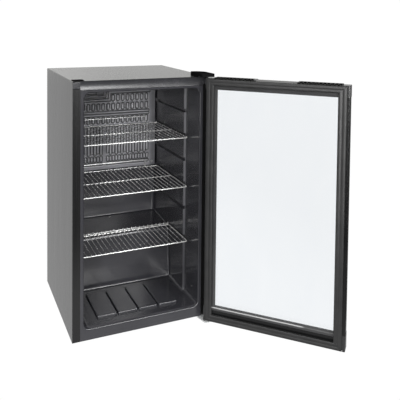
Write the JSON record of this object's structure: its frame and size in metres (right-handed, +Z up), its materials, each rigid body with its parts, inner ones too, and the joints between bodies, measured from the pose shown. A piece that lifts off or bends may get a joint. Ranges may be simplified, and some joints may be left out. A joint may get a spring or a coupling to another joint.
{
  "type": "glass door merchandiser",
  "caption": "Black under-counter drinks cooler with a side-hung glass door standing open, sliding chrome wire shelves, a dark liner and a rear machine compartment.",
  "frame": {"origin": "on the floor at the centre of the cabinet's footprint, between the four feet", "axes": "+X to the viewer's right when facing the front, +Y from the front face to the back, +Z up"},
  "size_m": [0.7922, 0.8476, 0.8555],
  "materials": {
    "wrap": "semi-matt black coating with a fine vertical grain",
    "zinc_sheet": "galvanised steel sheet",
    "black_sheet": "black coated steel",
    "liner": "black thermoformed styrene, semi-gloss",
    "foam": "rigid polyurethane foam",
    "trim": "black moulded plastic, satin",
    "evaporator": "black coated roll-bond aluminium",
    "chrome_wire": "bright chrome",
    "white_plastic": "off-white moulded plastic",
    "lens": "frosted clear plastic",
    "door_frame": "black extruded plastic, satin",
    "door_cap": "black moulded plastic, satin",
    "gasket": "black magnetic door seal",
    "glass": "clear float glass",
    "spacer": "dark anodised spacer",
    "hinge_steel": "zinc plated steel",
    "nylon": "natural nylon",
    "compressor": "gloss black enamel on steel",
    "rubber": "black rubber",
    "copper": "drawn copper",
    "condenser": "black painted wire and tube",
    "cord": "black flexible cord",
    "screw": "zinc plated"
  },
  "bodies": {
    "cabinet": {"outer_shell": "wrap", "rear_panel": "black_sheet", "base_plate": "zinc_sheet", "compressor_bay_panel": "zinc_sheet", "front_corner_blocks": "trim", "front_top_rail": "trim", "hinge_blank_cover": "trim", "inner_liner": "liner", "foam_insulation": "foam", "drain_tube": "white_plastic", "wall_plugs": "trim", "evaporator_plate": "evaporator", "evaporator_standoffs": "trim", "evaporator_screws": "screw", "thermostat_housing": "trim", "lamp_lens": "lens", "top_hinge_bracket": "hinge_steel", "top_hinge_pin": "hinge_steel", "top_hinge_cover": "trim", "bottom_hinge_bracket": "hinge_steel", "bottom_hinge_pin": "hinge_steel", "hinge_screws": "screw", "foot_insert_nuts": "screw", "rear_feet": "rubber", "compressor_shell": "compressor", "compressor_mount_plate": "black_sheet", "compressor_grommets": "rubber", "compressor_bolts": "screw", "compressor_relay_cover": "trim", "evaporation_tray": "white_plastic", "condenser_tube": "condenser", "condenser_wires": "condenser", "condenser_brackets": "white_plastic", "refrigerant_pipes": "copper", "filter_drier": "copper", "power_cord": "cord", "cord_clamp": "trim", "rear_panel_screws": "screw"},
    "door": {"door_stile_handle_side": "door_frame", "door_stile_hinge_side": "door_frame", "door_rail_top": "door_frame", "door_rail_bottom": "door_frame", "door_cap_top_handle": "door_cap", "door_cap_top_hinge": "door_cap", "door_cap_bottom_handle": "door_cap", "door_cap_bottom_hinge": "door_cap", "door_gasket": "gasket", "glazing_bead": "door_frame", "glass_inner_pane": "glass", "glass_outer_pane": "glass", "glazing_spacer_bar": "spacer", "door_bushings": "nylon"},
    "upper_shelf": {"shelf_upper": "chrome_wire"},
    "middle_shelf": {"shelf_middle": "chrome_wire"},
    "lower_shelf": {"shelf_lower": "chrome_wire"},
    "knob": {"thermostat_knob": "white_plastic"},
    "rocker": {"lamp_switch_rocker": "white_plastic"},
    "left_foot": {"front_left_foot": "rubber"},
    "right_foot": {"front_right_foot": "rubber"}
  },
  "joints": [
    {"name": "door_hinge", "type": "hinge", "parent": "cabinet", "child": "door", "pos_m": [0.2255, -0.2528, 0.412], "axis": [0, 0, 1], "range_deg": [-134, 36]},
    {"name": "upper_shelf_slide", "type": "slide", "parent": "cabinet", "child": "upper_shelf", "axis": [0, -1, 0], "range_m": [0, 0.07]},
    {"name": "middle_shelf_slide", "type": "slide", "parent": "cabinet", "child": "middle_shelf", "axis": [0, -1, 0], "range_m": [0, 0.07]},
    {"name": "lower_shelf_slide", "type": "slide", "parent": "cabinet", "child": "lower_shelf", "axis": [0, -1, 0], "range_m": [0, 0.07]},
    {"name": "thermostat_turn", "type": "hinge", "parent": "cabinet", "child": "knob", "pos_m": [0.05, -0.032, 0.782], "axis": [0, 0, -1], "range_deg": [0, 270]},
    {"name": "lamp_switch_rock", "type": "hinge", "parent": "cabinet", "child": "rocker", "pos_m": [0.017, -0.032, 0.7945], "axis": [1, 0, 0], "range_deg": [0, 10]},
    {"name": "left_foot_level", "type": "slide", "parent": "cabinet", "child": "left_foot", "axis": [0, 0, -1], "range_m": [0, 0.008]},
    {"name": "right_foot_level", "type": "slide", "parent": "cabinet", "child": "right_foot", "axis": [0, 0, -1], "range_m": [0, 0.008]}
  ]
}
